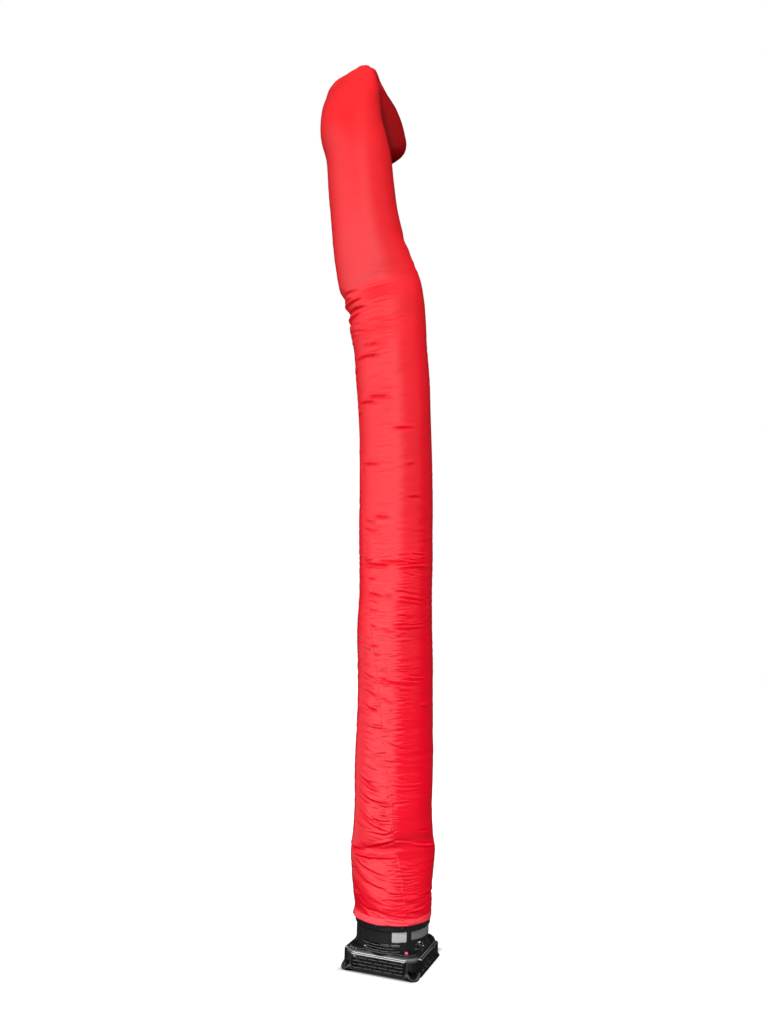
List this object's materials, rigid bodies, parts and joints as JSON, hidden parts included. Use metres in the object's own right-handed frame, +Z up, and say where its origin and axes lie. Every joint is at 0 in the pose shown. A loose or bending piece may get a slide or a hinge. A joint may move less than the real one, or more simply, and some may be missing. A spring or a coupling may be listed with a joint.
{
  "type": "inflatable air dancer with blower",
  "caption": "Red nylon tube that rises from the collar of a black floor blower, leans above a soft kink and folds over at its top so that its closed end hangs down behind.",
  "frame": {"origin": "on the floor, under the middle of the whole object's box", "axes": "+Z up; +X, -X, +Y and -Y are square to the blower housing's sides, and the tube leans towards -X"},
  "size_m": [0.7227, 0.5606, 4.7256],
  "materials": {
    "nylon": "thin coated nylon with a soft sheen",
    "housing": "black moulded plastic, satin",
    "bright_plate": "bright blank plate",
    "dull_plate": "grey blank plate",
    "lamp": "pink-red lens, unlit"
  },
  "bodies": {
    "root": {"air_dancer_tube": "nylon", "blower_base": "housing", "blower_drum": "housing", "tube_collar": "housing", "silver_plate": "bright_plate", "grey_plate": "dull_plate", "pilot_lamp": "lamp"}
  },
  "joints": []
}
